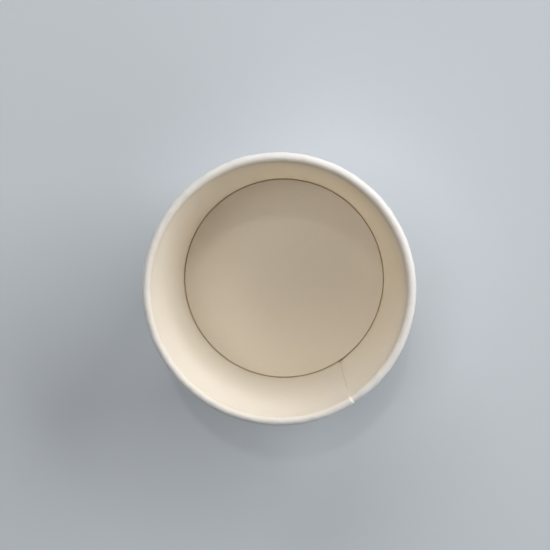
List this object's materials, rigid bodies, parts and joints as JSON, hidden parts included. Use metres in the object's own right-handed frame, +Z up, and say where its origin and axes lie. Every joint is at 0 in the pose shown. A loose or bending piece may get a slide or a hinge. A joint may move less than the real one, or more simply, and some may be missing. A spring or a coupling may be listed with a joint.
{
  "type": "paper soup container",
  "caption": "Tapered round paper soup container with a rolled rim, a lapped side seam and a recessed base disc sealed in the folded foot.",
  "frame": {"origin": "centre of the foot's ring, on the ground", "axes": "+Z up along the container's axis and out of its mouth; +Y towards the inner edge of the side seam"},
  "size_m": [0.098, 0.098, 0.06],
  "materials": {
    "wall_board": "coated inside, matt outside",
    "base_board": "coated inside, matt below"
  },
  "bodies": {
    "root": {"side_wall": "wall_board", "base_disc": "base_board"}
  },
  "joints": []
}
